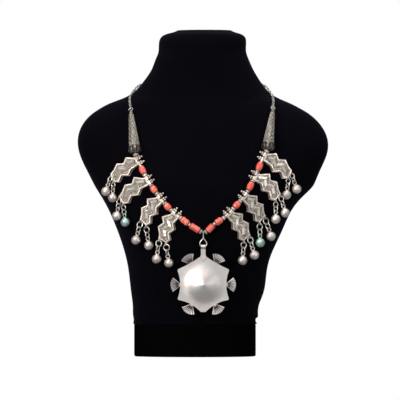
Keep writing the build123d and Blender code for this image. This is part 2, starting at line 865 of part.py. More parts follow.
with BuildPart() as pendant:
    with BuildSketch(facing.offset(-pendant_plate)) as star:
        with BuildLine():
            for bearing in range(30, 390, 60):
                hollow = star_top_hollow if bearing in (30, 90) else star_hollow
                ThreePointArc(
                    polar(star_radius, bearing),
                    polar(star_radius * cos(radians(30)) - hollow, bearing + 30),
                    polar(star_radius, bearing + 60),
                )
        make_face()
        fillet(star.vertices(), star_corner_radius)
        with Locations((0, -foot_radius)):
            Rectangle(star_radius, star_radius, align=(Align.CENTER, Align.MAX), mode=Mode.SUBTRACT)
    extrude(star.sketch, amount=pendant_plate)
    dome_axis = Axis(plate_front, (0, -1, 0))
    for depth, foot, mode in ((0, 0, Mode.ADD), (dome_wall, -2 * pendant_plate, Mode.SUBTRACT)):
        with BuildSketch(Plane(origin=plate_front, x_dir=(1, 0, 0), z_dir=(0, 0, -1))) as dome:
            with BuildLine():
                points = [(out * dome_radius, up * dome_height - depth) for out, up in dome_rows]
                Spline(*points, tangents=[(1, -0.3), (1, 0)])
                if depth:
                    Line(points[-1], (dome_radius, foot))
                Line((dome_radius, foot), (0, foot))
                Line((0, foot), points[0])
            make_face()
        revolve(dome.sketch, axis=dome_axis, mode=mode)
    with BuildSketch(facing.offset(-pendant_plate)) as strap:
        top = pendant_hang
        with BuildLine():
            Polyline(
                (bail_width / 2, top),
                (bail_width / 2, top - bail_drop),
                (bail_spread / 2, top - bail_drop - bail_overlap / 3),
                (0, top - bail_drop - bail_overlap),
                (-bail_spread / 2, top - bail_drop - bail_overlap / 3),
                (-bail_width / 2, top - bail_drop),
                (-bail_width / 2, top),
                close=True,
            )
        make_face()
    extrude(strap.sketch, amount=pendant_plate + bail_wall)
    with Locations(Plane(origin=pivot, z_dir=(1, 0, 0))):
        Cylinder(bail_radius, bail_width)
        Cylinder(bail_bore_radius, 2 * bail_width, mode=Mode.SUBTRACT)
    roots = [(fan_top_root if turn in (60, 120) else fan_root, turn) for turn in range(0, 360, 60)]
    with Locations(*[facing * Location(polar(root, turn), turn) for root, turn in roots]):
        add(fan.part, clean=False)
finish(pendant, "pendant")
print("pendant pivot, m:", [round(value / 1000, 6) for value in pivot])
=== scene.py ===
import math

import bmesh
import bpy
import numpy as np
from mathutils import Matrix, Vector
from mathutils.bvhtree import BVHTree


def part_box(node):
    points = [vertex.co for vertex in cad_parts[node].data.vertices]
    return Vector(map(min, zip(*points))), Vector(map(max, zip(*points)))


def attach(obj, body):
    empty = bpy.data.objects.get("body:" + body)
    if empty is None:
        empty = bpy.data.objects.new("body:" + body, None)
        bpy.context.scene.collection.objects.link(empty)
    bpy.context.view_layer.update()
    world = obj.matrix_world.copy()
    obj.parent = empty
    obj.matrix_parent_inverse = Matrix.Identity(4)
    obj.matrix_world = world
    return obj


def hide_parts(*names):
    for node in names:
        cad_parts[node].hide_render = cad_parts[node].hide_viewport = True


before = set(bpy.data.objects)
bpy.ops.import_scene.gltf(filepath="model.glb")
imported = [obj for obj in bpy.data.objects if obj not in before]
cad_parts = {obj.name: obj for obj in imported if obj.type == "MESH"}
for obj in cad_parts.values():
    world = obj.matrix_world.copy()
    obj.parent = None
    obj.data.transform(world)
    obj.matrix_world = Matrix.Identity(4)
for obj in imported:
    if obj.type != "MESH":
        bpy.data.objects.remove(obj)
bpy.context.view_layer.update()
scene = bpy.context.scene
scene.view_settings.view_transform = "Standard"

# Camera: level and straight on, as the photograph was taken, from far off so that little is foreshortened.
# It takes in 440 mm of the plane through the neck.
camera_data = bpy.data.cameras.new("camera")
camera_data.sensor_width = 36
camera_data.lens = 654.5
camera_data.clip_start = 0.5
camera_data.clip_end = 40
camera = bpy.data.objects.new("camera", camera_data)
scene.collection.objects.link(camera)
camera.location = (-0.0033, -8.0, 0.17215)
camera.rotation_euler = (math.radians(90), 0, 0)
scene.camera = camera


# Studio: a white surround that the camera sees as plain paper white, while metal reflects a softer grey
# room with a dull grey floor. One big soft box stands at the front left, with weaker ones at the right
# and overhead.
def add_node(tree, kind, inputs=None, **settings):
    """Add a node to a tree. Each input gets a value, or a link where a socket is given."""
    made = tree.nodes.new(kind)
    for name, value in settings.items():
        setattr(made, name, value)
    for name, value in (inputs or {}).items():
        if isinstance(value, bpy.types.NodeSocket):
            tree.links.new(value, made.inputs[name])
        else:
            made.inputs[name].default_value = value
    return made


def seen_or_lit(tree, seen, lit, output):
    """Show one shader to the camera and another to every other ray."""
    path = add_node(tree, "ShaderNodeLightPath")
    both = add_node(tree, "ShaderNodeMixShader", {0: path.outputs["Is Camera Ray"], 1: lit, 2: seen})
    tree.links.new(both.outputs[0], output)


world = bpy.data.worlds.new("studio")
world.use_nodes = True
scene.world = world
tree = world.node_tree
tree.nodes.clear()
sky = add_node(tree, "ShaderNodeTexCoord")
height = add_node(tree, "ShaderNodeSeparateXYZ", {0: sky.outputs["Generated"]})
room = add_node(
    tree,
    "ShaderNodeMapRange",
    {"Value": height.outputs["Z"], "From Min": -0.35, "From Max": 0.7, "To Min": 0.03, "To Max": 0.55},
)
grey = add_node(tree, "ShaderNodeBackground", {"Color": (1.0, 0.985, 0.97, 1), "Strength": room.outputs[0]})
paper = add_node(tree, "ShaderNodeBackground", {"Color": (1, 1, 1, 1), "Strength": 1.0})
world_output = add_node(tree, "ShaderNodeOutputWorld")
seen_or_lit(tree, paper.outputs[0], grey.outputs[0], world_output.inputs["Surface"])

floor_material = bpy.data.materials.new("floor_white")
floor_material.use_nodes = True
tree = floor_material.node_tree
tree.nodes.clear()
paper = add_node(tree, "ShaderNodeEmission", {"Color": (1, 1, 1, 1), "Strength": 1.0})
dull = add_node(tree, "ShaderNodeBsdfDiffuse", {"Color": (0.28, 0.28, 0.28, 1)})
floor_output = add_node(tree, "ShaderNodeOutputMaterial")
seen_or_lit(tree, paper.outputs[0], dull.outputs[0], floor_output.inputs["Surface"])
floor_half = 9
floor_level = -0.0005
floor_signs = [(-1, -1), (1, -1), (1, 1), (-1, 1)]
floor_corners = [(x * floor_half, y * floor_half, floor_level) for x, y in floor_signs]
floor_mesh = bpy.data.meshes.new("floor")
floor_mesh.from_pydata(floor_corners, [], [(0, 1, 2, 3)])
floor_mesh.materials.append(floor_material)
floor = bpy.data.objects.new("floor", floor_mesh)
scene.collection.objects.link(floor)


def soft_box(name, place, aim, width, tall, watts, colour):
    """A rectangular soft light, turned to face a point."""
    data = bpy.data.lights.new(name, "AREA")
    data.shape = "RECTANGLE"
    data.size = width
    data.size_y = tall
    data.energy = watts
    data.color = colour
    lamp = bpy.data.objects.new(name, data)
    lamp.location = place
    lamp.rotation_euler = (Vector(aim) - Vector(place)).to_track_quat("-Z", "Y").to_euler()
    scene.collection.objects.link(lamp)


# each with its place and aim, its width and height in metres, its watts and its colour
soft_box("key_light", (-1.25, -1.9, 0.85), (0, -0.05, 0.16), 0.9, 0.9, 46, (1.0, 0.975, 0.95))
soft_box("fill_light", (1.7, -1.7, 0.45), (0, -0.05, 0.16), 0.8, 1.1, 13, (0.97, 0.98, 1.0))
soft_box("top_light", (0.1, -0.5, 1.7), (0, -0.05, 0.2), 1.2, 0.6, 16, (1.0, 0.99, 0.98))


# Neck bust: a moulded form covered with black velvet, its pile short and dense, with a faint violet sheen.
# The cloth is stretched over the form and turned under at the foot. It dips a little along the collarbones
# and is filled out just above the foot.
def new_material(name, values):
    """A new material, its tree and its Principled shader with these values."""
    material = bpy.data.materials.new(name)
    material.use_nodes = True
    tree = material.node_tree
    tree.nodes.clear()
    shader = add_node(tree, "ShaderNodeBsdfPrincipled", values)
    add_node(tree, "ShaderNodeOutputMaterial", {"Surface": shader.outputs[0]})
    return material, tree, shader


def own_place(tree):
    """Where a point lies in its own object's coordinates."""
    return add_node(tree, "ShaderNodeTexCoord").outputs["Object"]


def blend_colours(tree, factor, first, second):
    """Mix two colours, each a value or a socket."""
    inputs = {0: factor, 6: first, 7: second}
    return add_node(tree, "ShaderNodeMix", inputs, data_type="RGBA").outputs[2]


def ramp(tree, value, low, high, low_out=0.0, high_out=1.0):
    """A value carried smoothly from one range to another, and held at its ends."""
    inputs = {"Value": value, "From Min": low, "From Max": high, "To Min": low_out, "To Max": high_out}
    return add_node(tree, "ShaderNodeMapRange", inputs, interpolation_type="SMOOTHSTEP").outputs[0]


def noise(tree, place, scale, detail=3.0, roughness=0.5):
    """Smooth noise from 0 to 1 at this many waves to the metre."""
    inputs = {"Vector": place, "Scale": scale, "Detail": detail, "Roughness": roughness}
    return add_node(tree, "ShaderNodeTexNoise", inputs).outputs["Fac"]


def bump(tree, height, depth, strength=1.0):
    """A bumped normal from a height of 0 to 1 that is this many metres deep."""
    inputs = {"Height": height, "Distance": depth, "Strength": strength}
    return add_node(tree, "ShaderNodeBump", inputs).outputs[0]


def plain_copy(node):
    """A merged copy of a CAD node's mesh as a bmesh in the shared frame. The node itself isn't changed."""
    copy = bmesh.new()
    copy.from_mesh(node.data)
    copy.transform(node.matrix_world)
    bmesh.ops.remove_doubles(copy, verts=copy.verts, dist=1e-6)
    bmesh.ops.recalc_face_normals(copy, faces=copy.faces)
    return copy


def add_piece(name, mesh, material, smooth=True):
    """Show a mesh as a piece of the object that stays on the bust."""
    mesh.materials.clear()
    mesh.materials.append(material)
    for polygon in mesh.polygons:
        polygon.use_smooth = smooth
    piece = bpy.data.objects.new(name, mesh)
    scene.collection.objects.link(piece)
    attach(piece, "root")
    return piece


def remeshed(node, voxel):
    """A copy of a CAD node's mesh with even faces, in the shared frame."""
    copy = plain_copy(node)
    mesh = bpy.data.meshes.new("remesh")
    copy.to_mesh(mesh)
    carrier = bpy.data.objects.new("carrier", mesh)
    scene.collection.objects.link(carrier)
    modifier = carrier.modifiers.new("remesh", "REMESH")
    modifier.mode = "VOXEL"
    modifier.voxel_size = voxel
    graph = bpy.context.evaluated_depsgraph_get()
    even = bpy.data.meshes.new_from_object(carrier.evaluated_get(graph))
    bpy.data.objects.remove(carrier)
    skin = BVHTree.FromBMesh(copy)
    for vertex in even.vertices:
        vertex.co = skin.find_nearest(vertex.co)[0]
    copy.free()
    even.update()
    return even


def hump(distance, width):
    """A smooth hump that is 1 at its middle and dies away over about twice this width."""
    return math.exp(-((distance / width) ** 2))


velvet_looks = {
    "Roughness": 0.95,
    "Specular IOR Level": 0.015,
    "Sheen Weight": 0.02,
    "Sheen Roughness": 0.45,
    "Sheen Tint": (0.62, 0.58, 1.0, 1),
}
velvet, tree, shader = new_material("velvet_black", velvet_looks)
spot = own_place(tree)
worn = ramp(tree, noise(tree, spot, 9.0, 2.0), 0.35, 0.7)
pile = noise(tree, spot, 1400.0, 2.0)
cloth = blend_colours(tree, worn, (0.0008, 0.0007, 0.0015, 1), (0.0017, 0.0015, 0.0027, 1))
cloth = blend_colours(tree, ramp(tree, pile, 0.3, 0.8), cloth, (0.0026, 0.0023, 0.0037, 1))
tree.links.new(cloth, shader.inputs["Base Color"])
tree.links.new(bump(tree, pile, 0.0006, 0.5), shader.inputs["Normal"])

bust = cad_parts["neck_bust"]
bust_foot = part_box("neck_bust")[0][2]
bust_mesh = remeshed(bust, voxel=0.0026)
collarbones = [
    # start across and up, end across and up, sag, in metres
    ((-0.074, 0.279), (-0.049, 0.26), 0.003),
    ((0.0665, 0.2905), (0.0215, 0.277), 0.004),
]
bone_overrun = 0.25
bone_depth = 0.0011
bone_width = 0.0028
hem_height = 0.02
hem_middle_y = 0.014
hem_folds = 31
fold_depth = 0.0005
seam_height = 0.006
seam_width = 0.0012
seam_depth = 0.0006
filled_height = 0.0105
filled_width = 0.009
filled_right = 0.0066
filled_left = 0.0018
normals = [vertex.normal.copy() for vertex in bust_mesh.vertices]
for vertex, normal in zip(bust_mesh.vertices, normals):
    place = vertex.co
    inward = 0.0
    if normal.y < 0:
        for (x0, z0), (x1, z1), sag in collarbones:
            run = Vector((x1 - x0, 0, z1 - z0))
            share = Vector((place.x - x0, 0, place.z - z0)).dot(run) / run.length_squared
            if -bone_overrun < share < 1 + bone_overrun:
                middle = z0 + share * (z1 - z0) - sag * 4 * share * (1 - share)
                fade = max(0.0, math.cos((share - 0.5) * math.pi / (1 + 2 * bone_overrun)))
                inward += bone_depth * fade * hump(place.z - middle, bone_width)
    above_foot = place.z - bust_foot
    if above_foot < hem_height:
        around = math.atan2(place.y - hem_middle_y, place.x)
        gather = 0.5 + 0.5 * math.sin(hem_folds * around + 3 * math.sin(5 * around))
        inward += fold_depth * gather * (1 - above_foot / hem_height)
        inward += seam_depth * hump(above_foot - seam_height, seam_width)
    filled = filled_right * max(0.0, normal.x) + filled_left * max(0.0, -normal.x)
    inward -= filled * hump(above_foot - filled_height, filled_width)
    vertex.co = place - normal * inward
bust_piece = add_piece("velvet_cover", bust_mesh, velvet)
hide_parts("neck_bust")

# Plinth: a straight block that the torso stands on. It is covered with flat black cloth that shows no
# sheen at all.
plinth_black, tree, shader = new_material("plinth_cloth", {"Roughness": 1.0, "Specular IOR Level": 0.0})
weave = noise(tree, own_place(tree), 900.0, 1.0)
shade = blend_colours(tree, weave, (0.0008, 0.0008, 0.0009, 1), (0.0018, 0.0018, 0.002, 1))
tree.links.new(shade, shader.inputs["Base Color"])
tree.links.new(bump(tree, weave, 0.0004, 0.4), shader.inputs["Normal"])


def coat(names, material):
    """Give CAD nodes a material."""
    for name in names:
        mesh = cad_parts[name].data
        mesh.materials.clear()
        mesh.materials.append(material)


coat(["bust_plinth"], plinth_black)

# Stations: each is two zigzag plates of low-grade silver, one over the other, worn bright on the rim and
# on a roof-shaped ridge along the middle. The channel between rim and ridge is dark with tarnish, with a
# beaded wire soldered along its border and granules on its floor.
def maths(tree, operation, *values):
    """One arithmetic step on values or sockets."""
    return add_node(tree, "ShaderNodeMath", dict(enumerate(values)), operation=operation).outputs[0]


def aged_silver():
    """Shared look of old worked silver: bright on what rubs, patchy tarnish, recesses dark with tarnish and
    painted shade.
    """
    group = bpy.data.node_groups.new("aged_silver", "ShaderNodeTree")
    sockets = [
        ("Bright", "NodeSocketColor", (0.8, 0.76, 0.7, 1)),
        ("Tarnish", "NodeSocketColor", (0.5, 0.45, 0.4, 1)),
        ("Recess", "NodeSocketColor", (0.05, 0.045, 0.04, 1)),
        ("Patches", "NodeSocketFloat", 160.0),
        ("Wear", "NodeSocketFloat", 0.5),
        ("Depth", "NodeSocketFloat", 0.0012),
        ("Polish", "NodeSocketFloat", 0.34),
    ]
    for name, kind, value in sockets:
        group.interface.new_socket(name, in_out="INPUT", socket_type=kind).default_value = value
    for name, kind in (("Colour", "Color"), ("Roughness", "Float"), ("Height", "Float")):
        group.interface.new_socket(name, in_out="OUTPUT", socket_type=f"NodeSocket{kind}")
    entry = group.nodes.new("NodeGroupInput").outputs
    spot = own_place(group)
    patches = noise(group, spot, entry["Patches"], 4.0, 0.6)
    fine = noise(group, spot, 2600.0, 2.0, 0.55)
    dull = ramp(group, maths(group, "SUBTRACT", patches, entry["Wear"]), -0.12, 0.14)
    metal = blend_colours(group, dull, entry["Bright"], entry["Tarnish"])
    speckle = ramp(group, fine, 0.5, 0.8, 0.0, 0.45)
    metal = blend_colours(group, speckle, metal, entry["Tarnish"])
    # An occlusion mask darkens the recesses towards the recess colour: partly tarnish, partly painted
    # shade.
    hollow = add_node(group, "ShaderNodeAmbientOcclusion", {"Distance": entry["Depth"]}, samples=8)
    tarnish_and_painted_shade = ramp(group, hollow.outputs["AO"], 0.42, 0.92, 1.0, 0.0)
    metal = blend_colours(group, tarnish_and_painted_shade, metal, entry["Recess"])
    rough = maths(group, "MULTIPLY_ADD", dull, 0.12, entry["Polish"])
    rough = maths(group, "MULTIPLY_ADD", tarnish_and_painted_shade, 0.25, rough)
    height = maths(group, "MULTIPLY_ADD", fine, 0.5, patches)
    add_node(group, "NodeGroupOutput", {"Colour": metal, "Roughness": rough, "Height": height})
    return group


silver_group = aged_silver()


def silver(name, dents, **looks):
    """A silver material, its dents in metres and its other looks as inputs of the shared group."""
    material, tree, shader = new_material(name, {"Metallic": 1.0})
    look = tree.nodes.new("ShaderNodeGroup")
    look.node_tree = silver_group
    for key, value in looks.items():
        look.inputs[key].default_value = value
    tree.links.new(look.outputs["Colour"], shader.inputs["Base Color"])
    tree.links.new(look.outputs["Roughness"], shader.inputs["Roughness"])
    tree.links.new(bump(tree, look.outputs["Height"], dents), shader.inputs["Normal"])
    return material


station_silver = silver(
    "station_silver",
    0.00018,
    Bright=(0.84, 0.75, 0.67, 1),
    Tarnish=(0.56, 0.47, 0.41, 1),
    Recess=(0.05, 0.043, 0.037, 1),
    Patches=170.0,
    Wear=0.5,
    Depth=0.0012,
    Polish=0.4,
)
channel_silver = silver(
    "channel_silver",
    0.00022,
    Bright=(0.62, 0.54, 0.47, 1),
    Tarnish=(0.27, 0.225, 0.195, 1),
    Recess=(0.04, 0.034, 0.03, 1),
    Patches=420.0,
    Wear=0.5,
    Depth=0.0009,
    Polish=0.46,
)
granule_silver = silver(
    "granule_silver",
    0.00008,
    Bright=(0.9, 0.84, 0.77, 1),
    Tarnish=(0.6, 0.54, 0.48, 1),
    Recess=(0.06, 0.05, 0.043, 1),
    Patches=400.0,
    Wear=0.55,
    Depth=0.0007,
    Polish=0.32,
)
stations = [hand + number for hand in "lr" for number in "1234"]
coat([f"station_{place}" for place in stations], station_silver)


def geometry_group(name, inputs, output):
    """A Geometry Nodes group with these named inputs and one output, and the sockets of its inputs."""
    group = bpy.data.node_groups.new(name, "GeometryNodeTree")
    for label, kind in inputs.items():
        group.interface.new_socket(label, in_out="INPUT", socket_type=f"NodeSocket{kind}")
    group.interface.new_socket(output, in_out="OUTPUT", socket_type="NodeSocketGeometry")
    return group, group.nodes.new("NodeGroupInput").outputs


def end_group(group, made, material, output):
    """Make the geometry real, give it its material and hand it out of the group."""
    real = add_node(group, "GeometryNodeRealizeInstances", {0: made})
    done = add_node(group, "GeometryNodeSetMaterial", {"Geometry": real.outputs[0], "Material": material})
    add_node(group, "NodeGroupOutput", {output: done.outputs[0]})


def wire_beading():
    """Geometry Nodes: granules set close along the edges of a mesh."""
    inputs = {"Lines": "Geometry", "Granule Radius": "Float", "Spacing": "Float", "Material": "Material"}
    group, entry = geometry_group("wire_beading", inputs, "Granules")
    curve = add_node(group, "GeometryNodeMeshToCurve", {"Mesh": entry["Lines"]})
    inputs = {"Curve": curve.outputs[0], "Length": entry["Spacing"]}
    dots = add_node(group, "GeometryNodeCurveToPoints", inputs, mode="LENGTH")
    inputs = {"Radius": entry["Granule Radius"], "Subdivisions": 2}
    ball = add_node(group, "GeometryNodeMeshIcoSphere", inputs)
    inputs = {"Points": dots.outputs["Points"], "Instance": ball.outputs[0]}
    many = add_node(group, "GeometryNodeInstanceOnPoints", inputs)
    end_group(group, many.outputs[0], entry["Material"], "Granules")
    return group


def line_mesh(places, pairs):
    """A mesh of points, joined in pairs."""
    mesh = bpy.data.meshes.new("lines")
    mesh.from_pydata(places, pairs, [])
    return mesh


def grow(group, values, mesh):
    """The mesh that a Geometry Nodes group makes from a mesh and these named inputs."""
    carrier = bpy.data.objects.new("carrier", mesh)
    scene.collection.objects.link(carrier)
    modifier = carrier.modifiers.new("grow", "NODES")
    modifier.node_group = group
    for item in group.interface.items_tree:
        if item.in_out == "INPUT" and item.name in values:
            modifier[item.identifier] = values[item.name]
    graph = bpy.context.evaluated_depsgraph_get()
    grown = bpy.data.meshes.new_from_object(carrier.evaluated_get(graph))
    carrier.modifiers.remove(modifier)
    bpy.data.objects.remove(carrier)
    return grown


def level_faces(copy, least_area):
    """The way that most of a worked plate's front faces, and its flat faces by level, highest first."""
    nearly_front = 0.999
    quite_front = 0.99999
    level_step = 0.00005
    areas = {}
    for face in copy.faces:
        if face.normal.y < 0:
            key = tuple(round(part, 2) for part in face.normal)
            areas[key] = areas.get(key, 0) + face.calc_area()
    front = Vector(max(areas, key=areas.get)).normalized()
    near = [face for face in copy.faces if face.normal.dot(front) > nearly_front]
    front = sum((face.normal * face.calc_area() for face in near), Vector()).normalized()
    levels = {}
    for face in copy.faces:
        if face.normal.dot(front) > quite_front:
            level = round(face.calc_center_median().dot(front) / level_step)
            levels.setdefault(level, []).append(face)
    wide = [key for key in levels if sum(face.calc_area() for face in levels[key]) > least_area]
    return front, [levels[key] for key in sorted(wide, reverse=True)]


def border_lines(faces, front, inset):
    """The borders of a set of flat faces, drawn in from their edges, as points and pairs of points."""
    mitre_limit = 0.5
    inside = set(faces)
    borders = {}
    for face in faces:
        for loop in face.loops:
            if sum(other in inside for other in loop.edge.link_faces) == 1:
                start = loop.vert
                end = loop.link_loop_next.vert
                inward = front.cross(end.co - start.co).normalized()
                borders.setdefault(start, []).append((end, inward))
    points = {}
    for start, leaving in borders.items():
        for end, inward in leaving:
            points.setdefault(start, []).append(inward)
            points.setdefault(end, []).append(inward)
    order = {vertex: index for index, vertex in enumerate(points)}
    places = []
    for vertex, inwards in points.items():
        turned = sum(inwards, Vector()).normalized()
        places.append(vertex.co + turned * inset / max(mitre_limit, turned.dot(inwards[0])))
    pairs = [(order[start], order[end]) for start, leaving in borders.items() for end, _ in leaving]
    return places, pairs


def granule_patch():
    """Geometry Nodes: one granule on each point of a mesh, each a little different in size."""
    inputs = {"Points": "Geometry", "Granule Radius": "Float", "Material": "Material"}
    group, entry = geometry_group("granule_patch", inputs, "Granules")
    inputs = {"Radius": entry["Granule Radius"], "Subdivisions": 2}
    ball = add_node(group, "GeometryNodeMeshIcoSphere", inputs)
    least_and_most = {2: 0.85, 3: 1.15}
    size = add_node(group, "FunctionNodeRandomValue", {**least_and_most, "Seed": 7}, data_type="FLOAT")
    inputs = {"Points": entry["Points"], "Instance": ball.outputs[0], "Scale": size.outputs[1]}
    many = add_node(group, "GeometryNodeInstanceOnPoints", inputs)
    end_group(group, many.outputs[0], entry["Material"], "Granules")
    return group


def channel_floor(faces, front):
    """A thin closed skin a hair above a set of flat faces: the tarnish that lies in a plate's channel."""
    lift = 0.00008
    thickness = 0.00004
    skin = bmesh.new()
    made = {}
    for face in faces:
        for vertex in face.verts:
            if vertex not in made:
                made[vertex] = skin.verts.new(vertex.co + front * lift)
        skin.faces.new([made[vertex] for vertex in face.verts])
    bmesh.ops.solidify(skin, geom=skin.faces[:], thickness=thickness)
    bmesh.ops.recalc_face_normals(skin, faces=skin.faces)
    mesh = bpy.data.meshes.new("channel")
    skin.to_mesh(mesh)
    skin.free()
    return mesh


def from_runs(point, starts, runs):
    """Distance from a point to the nearest of some straight runs."""
    spot = np.array(point)
    shares = np.clip(((spot - starts) * runs).sum(1) / (runs**2).sum(1), 0, 1)
    return np.linalg.norm(starts + runs * shares[:, None] - spot, axis=1).min()


def open_spots(copy, faces, front, places, pairs, spacing, clear):
    """Points of a hexagonal grid on a set of flat faces that lie clear of its border lines."""
    row_share = 0.866
    ray_start = 0.01
    level_slack = 0.00002
    lift = 0.00015
    tree = BVHTree.FromBMesh(copy)
    across = front.orthogonal().normalized()
    up = front.cross(across)
    middle = sum((face.calc_center_median() for face in faces), Vector()) / len(faces)
    reach = max((vertex.co - middle).length for face in faces for vertex in face.verts)
    starts = np.array([places[start] for start, end in pairs])
    runs = np.array([places[end] - places[start] for start, end in pairs])
    level = faces[0].calc_center_median().dot(front)
    rows = int(reach / (spacing * row_share)) + 1
    spots = []
    for row in range(-rows, rows + 1):
        for column in range(-rows, rows + 1):
            point = middle + up * row * spacing * row_share + across * (column + 0.5 * (row % 2)) * spacing
            hit = tree.ray_cast(point + front * ray_start, -front)[0]
            if hit is None or abs(hit.dot(front) - level) > level_slack:
                continue
            if from_runs(hit, starts, runs) > clear:
                spots.append(hit + front * lift)
    return spots


def ridge_middle(faces):
    """The middle line of a zigzag band of flat faces, from one of its short ends to the other."""
    inside = set(faces)
    following = {}
    for face in faces:
        for loop in face.loops:
            if sum(other in inside for other in loop.edge.link_faces) == 1:
                following[loop.vert] = loop.link_loop_next.vert
    vertex = next(iter(following))
    ring = []
    while vertex not in ring:
        ring.append(vertex)
        vertex = following[vertex]
    count = len(ring)
    lengths = [(ring[index].co - ring[(index + 1) % count].co).length for index in range(count)]
    start = lengths.index(min(lengths)) + 1
    ring = ring[start:] + ring[:start]
    return [(ring[index].co + ring[count - 1 - index].co) / 2 for index in range(count // 2)]


def chevron(line, front, foot, rise, half_width):
    """A roof-shaped ridge along a zigzag line, closed all round. foot is its foot's height along front."""
    mitre_limit = 0.6
    rows = []
    for index, point in enumerate(line):
        sides = []
        for near, far in zip(line[:-1], line[1:]):
            if point in (near, far):
                sides.append(front.cross(far - near).normalized())
        out = sum(sides, Vector()).normalized()
        reach = out * half_width / max(mitre_limit, out.dot(sides[0]))
        ground = point + front * (foot - point.dot(front))
        rows.append((ground - reach, ground + front * rise, ground + reach))
    places = [place for row in rows for place in row]
    faces = [(2, 1, 0), tuple(len(places) - 3 + index for index in (0, 1, 2))]
    for row in range(len(rows) - 1):
        base = 3 * row
        for first, second in ((0, 1), (1, 2), (2, 0)):
            faces.append((base + first, base + second, base + 3 + second, base + 3 + first))
    shape = bmesh.new()
    corners = [shape.verts.new(place) for place in places]
    for face in faces:
        shape.faces.new([corners[index] for index in face])
    bmesh.ops.recalc_face_normals(shape, faces=shape.faces)
    mesh = bpy.data.meshes.new("chevron")
    shape.to_mesh(mesh)
    shape.free()
    return mesh


def from_line(point, line):
    """Distance from a point to a run of points."""
    starts = np.array(line[:-1])
    return from_runs(point, starts, np.array(line[1:]) - starts)


least_level_area = 6e-6
least_channel_area = 2e-4
chevron_half_width = 0.0023
chevron_rise = 0.0018
chevron_lift = 0.00006
border_inset = 0.00042
border_lift = 0.0001
border_from_chevron = 0.0031
border_granule = 0.00032
border_spacing = 0.00066
patch_spacing = 0.00096
patch_from_border = 0.0008
patch_from_chevron = 0.0029
patch_granule = 0.00044
beading = wire_beading()
patches = granule_patch()
for place in stations:
    copy = plain_copy(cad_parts[f"station_{place}"])
    front, levels = level_faces(copy, least_level_area)
    areas = [sum(face.calc_area() for face in level) for level in levels]
    channel = next(level for level, area in zip(levels, areas) if area > least_channel_area)
    floor_skin = channel_floor(channel, front)
    add_piece(f"channel_{place}", floor_skin, channel_silver, smooth=False)
    line = ridge_middle(levels[0])
    foot = channel[0].calc_center_median().dot(front)
    ridge = chevron(line, front, foot + chevron_lift, chevron_rise, chevron_half_width)
    add_piece(f"chevron_{place}", ridge, granule_silver, smooth=False)
    places, pairs = border_lines(channel, front, border_inset)
    away = [from_line(point, line) for point in places]
    kept = [pair for pair in pairs if max(away[end] for end in pair) > border_from_chevron]
    lines = line_mesh([point + front * border_lift for point in places], kept)
    values = {"Granule Radius": border_granule, "Spacing": border_spacing, "Material": granule_silver}
    add_piece(f"beading_{place}", grow(beading, values, lines), granule_silver)
    spots = open_spots(copy, channel, front, places, kept, patch_spacing, patch_from_border)
    copy.free()
    points = line_mesh([spot for spot in spots if from_line(spot, line) > patch_from_chevron], [])
    values = {"Granule Radius": patch_granule, "Material": granule_silver}
    add_piece(f"granules_{place}", grow(patches, values, points), granule_silver)

# Cones: hollow silver cones on the two ends of the strand, where they hide the thread's ends. They are
# olive grey and granulated in a diamond net, and the wide end is a slotted bulb.
cone_silver = silver(
    "cone_silver",
    0.0002,
    Bright=(0.3, 0.28, 0.24, 1),
    Tarnish=(0.13, 0.12, 0.1, 1),
    Recess=(0.035, 0.032, 0.026, 1),
    Patches=300.0,
    Wear=0.47,
    Depth=0.0016,
    Polish=0.36,
)
coat(["cone_left", "cone_right"], cone_silver)


def turned_axis(vertices):
    """Middle and axis of a turned piece, and its half length along that axis."""
    spots = np.array([vertex.co for vertex in vertices])
    middle = (spots.max(0) + spots.min(0)) / 2
    sizes, directions = np.linalg.eigh(np.cov((spots - spots.mean(0)).T))
    odd = 0 if sizes[1] - sizes[0] > sizes[2] - sizes[1] else 2
    axis = directions[:, odd]
    along = (spots - middle) @ axis
    middle = middle + axis * (along.max() + along.min()) / 2
    return Vector(middle), Vector(axis), (along.max() - along.min()) / 2


def skin_point(skin, middle, axis, along, turn, rise):
    """The point on a turned piece's skin at this distance along its axis and this turn about it."""
    ray_start = 0.012
    out = Matrix.Rotation(turn, 3, axis) @ axis.orthogonal().normalized()
    centre = middle + axis * along
    hit = skin.ray_cast(centre + out * ray_start, -out)[0]
    return hit + out * rise if hit else None


def skin_ring(skin, middle, axis, along, steps, rise):
    """Points all round a turned piece's skin at this distance along its axis."""
    turns = [2 * math.pi * step / steps for step in range(steps)]
    return [skin_point(skin, middle, axis, along, turn, rise) for turn in turns]


def add_line(places, pairs, line, closed=False):
    """Add a run of points to the places and pairs of a line mesh."""
    first = len(places)
    places += line
    pairs += [(first + step, first + step + 1) for step in range(len(line) - 1)]
    if closed:
        pairs.append((first + len(line) - 1, first))


